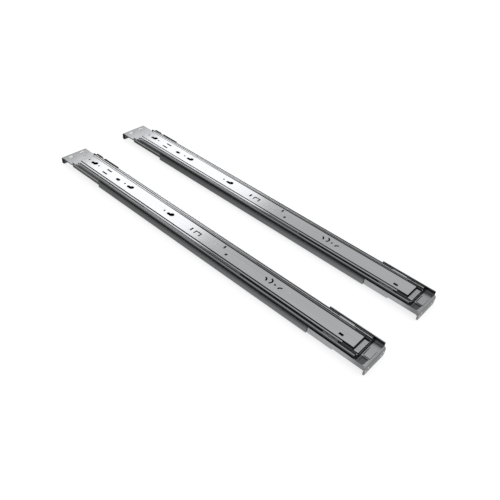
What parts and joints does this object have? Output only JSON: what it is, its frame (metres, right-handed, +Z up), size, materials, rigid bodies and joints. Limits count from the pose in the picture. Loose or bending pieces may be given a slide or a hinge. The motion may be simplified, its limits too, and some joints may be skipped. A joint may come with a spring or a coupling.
{
  "type": "sliding server rail pair",
  "caption": "Pair of ball-bearing telescopic rails that mount a server in a rack and let it slide out, with bolt-on ears and an adjustable rear bracket",
  "frame": {"origin": "centre of the bounding box at its base, on the ground between the two rails", "axes": "+X along the rails from the front ears to the rear ears, +Y from the left rail to the right rail, +Z up from the rack side to the chassis side of the rails"},
  "size_m": [0.577, 0.1632, 0.02],
  "materials": {
    "polished_steel": "bright zinc plate, polished flat",
    "middle_steel": "zinc-plated rolled steel",
    "outer_steel": "zinc-plated rolled steel",
    "bracket_steel": "zinc-plated pressed steel, satin",
    "support_steel": "zinc-plated rolled steel",
    "fastener_steel": "zinc-plated steel",
    "cage_steel": "plain pressed strip",
    "ball_steel": "hardened polished steel",
    "spring_steel": "bright spring strip",
    "black_plastic": "moulded, matt"
  },
  "bodies": {
    "rack_side": {"left_outer_member": "outer_steel", "left_front_bracket": "bracket_steel", "left_support_channel": "support_steel", "left_bracket_studs": "fastener_steel", "left_guide_studs": "fastener_steel", "left_front_ear_nuts": "fastener_steel", "left_front_guides": "black_plastic", "right_outer_member": "outer_steel", "right_front_bracket": "bracket_steel", "right_support_channel": "support_steel", "right_bracket_studs": "fastener_steel", "right_guide_studs": "fastener_steel", "right_front_ear_nuts": "fastener_steel", "right_front_guides": "black_plastic"},
    "left_middle": {"left_middle_member": "middle_steel", "left_end_blocks": "black_plastic", "left_retaining_springs": "spring_steel"},
    "left_inner": {"left_inner_member": "polished_steel", "left_latch_pin": "fastener_steel"},
    "left_latch": {"left_disconnect_latch": "fastener_steel"},
    "left_outer_bearing": {"left_outer_ball_cage": "cage_steel", "left_outer_balls": "ball_steel"},
    "left_inner_bearing": {"left_inner_ball_cage": "cage_steel", "left_inner_balls": "ball_steel"},
    "left_rear_extension": {"left_rear_bracket": "bracket_steel", "left_rear_ear_nuts": "fastener_steel"},
    "right_middle": {"right_middle_member": "middle_steel", "right_end_blocks": "black_plastic", "right_retaining_springs": "spring_steel"},
    "right_inner": {"right_inner_member": "polished_steel", "right_latch_pin": "fastener_steel"},
    "right_latch": {"right_disconnect_latch": "fastener_steel"},
    "right_outer_bearing": {"right_outer_ball_cage": "cage_steel", "right_outer_balls": "ball_steel"},
    "right_inner_bearing": {"right_inner_ball_cage": "cage_steel", "right_inner_balls": "ball_steel"},
    "right_rear_extension": {"right_rear_bracket": "bracket_steel", "right_rear_ear_nuts": "fastener_steel"}
  },
  "joints": [
    {"name": "left_middle_slide", "type": "slide", "parent": "rack_side", "child": "left_middle", "axis": [-1, 0, 0], "range_m": [0, 0.28]},
    {"name": "left_inner_slide", "type": "slide", "parent": "left_middle", "child": "left_inner", "axis": [-1, 0, 0], "range_m": [0, 0.28]},
    {"name": "left_outer_bearing_slide", "type": "slide", "parent": "rack_side", "child": "left_outer_bearing", "axis": [-1, 0, 0], "range_m": [0, 0.14]},
    {"name": "left_inner_bearing_slide", "type": "slide", "parent": "left_middle", "child": "left_inner_bearing", "axis": [-1, 0, 0], "range_m": [0, 0.14]},
    {"name": "left_depth_slide", "type": "slide", "parent": "rack_side", "child": "left_rear_extension", "axis": [1, 0, 0], "range_m": [0, 0.16]},
    {"name": "left_latch_hinge", "type": "hinge", "parent": "left_inner", "child": "left_latch", "pos_m": [0.0839, -0.05985, 0.0182], "axis": [0, 0, -1], "range_deg": [0, 5], "stiffness_Nm_per_rad": 0.5},
    {"name": "right_middle_slide", "type": "slide", "parent": "rack_side", "child": "right_middle", "axis": [-1, 0, 0], "range_m": [0, 0.28]},
    {"name": "right_inner_slide", "type": "slide", "parent": "right_middle", "child": "right_inner", "axis": [-1, 0, 0], "range_m": [0, 0.28]},
    {"name": "right_outer_bearing_slide", "type": "slide", "parent": "rack_side", "child": "right_outer_bearing", "axis": [-1, 0, 0], "range_m": [0, 0.14]},
    {"name": "right_inner_bearing_slide", "type": "slide", "parent": "right_middle", "child": "right_inner_bearing", "axis": [-1, 0, 0], "range_m": [0, 0.14]},
    {"name": "right_depth_slide", "type": "slide", "parent": "rack_side", "child": "right_rear_extension", "axis": [1, 0, 0], "range_m": [0, 0.16]},
    {"name": "right_latch_hinge", "type": "hinge", "parent": "right_inner", "child": "right_latch", "pos_m": [0.0839, 0.05985, 0.0182], "axis": [0, 0, -1], "range_deg": [0, 5], "stiffness_Nm_per_rad": 0.5}
  ],
  "couplings": [
    {"joint": "left_outer_bearing_slide", "follows": "left_middle_slide", "ratio": 0.5},
    {"joint": "left_inner_bearing_slide", "follows": "left_inner_slide", "ratio": 0.5},
    {"joint": "right_outer_bearing_slide", "follows": "right_middle_slide", "ratio": 0.5},
    {"joint": "right_inner_bearing_slide", "follows": "right_inner_slide", "ratio": 0.5}
  ]
}
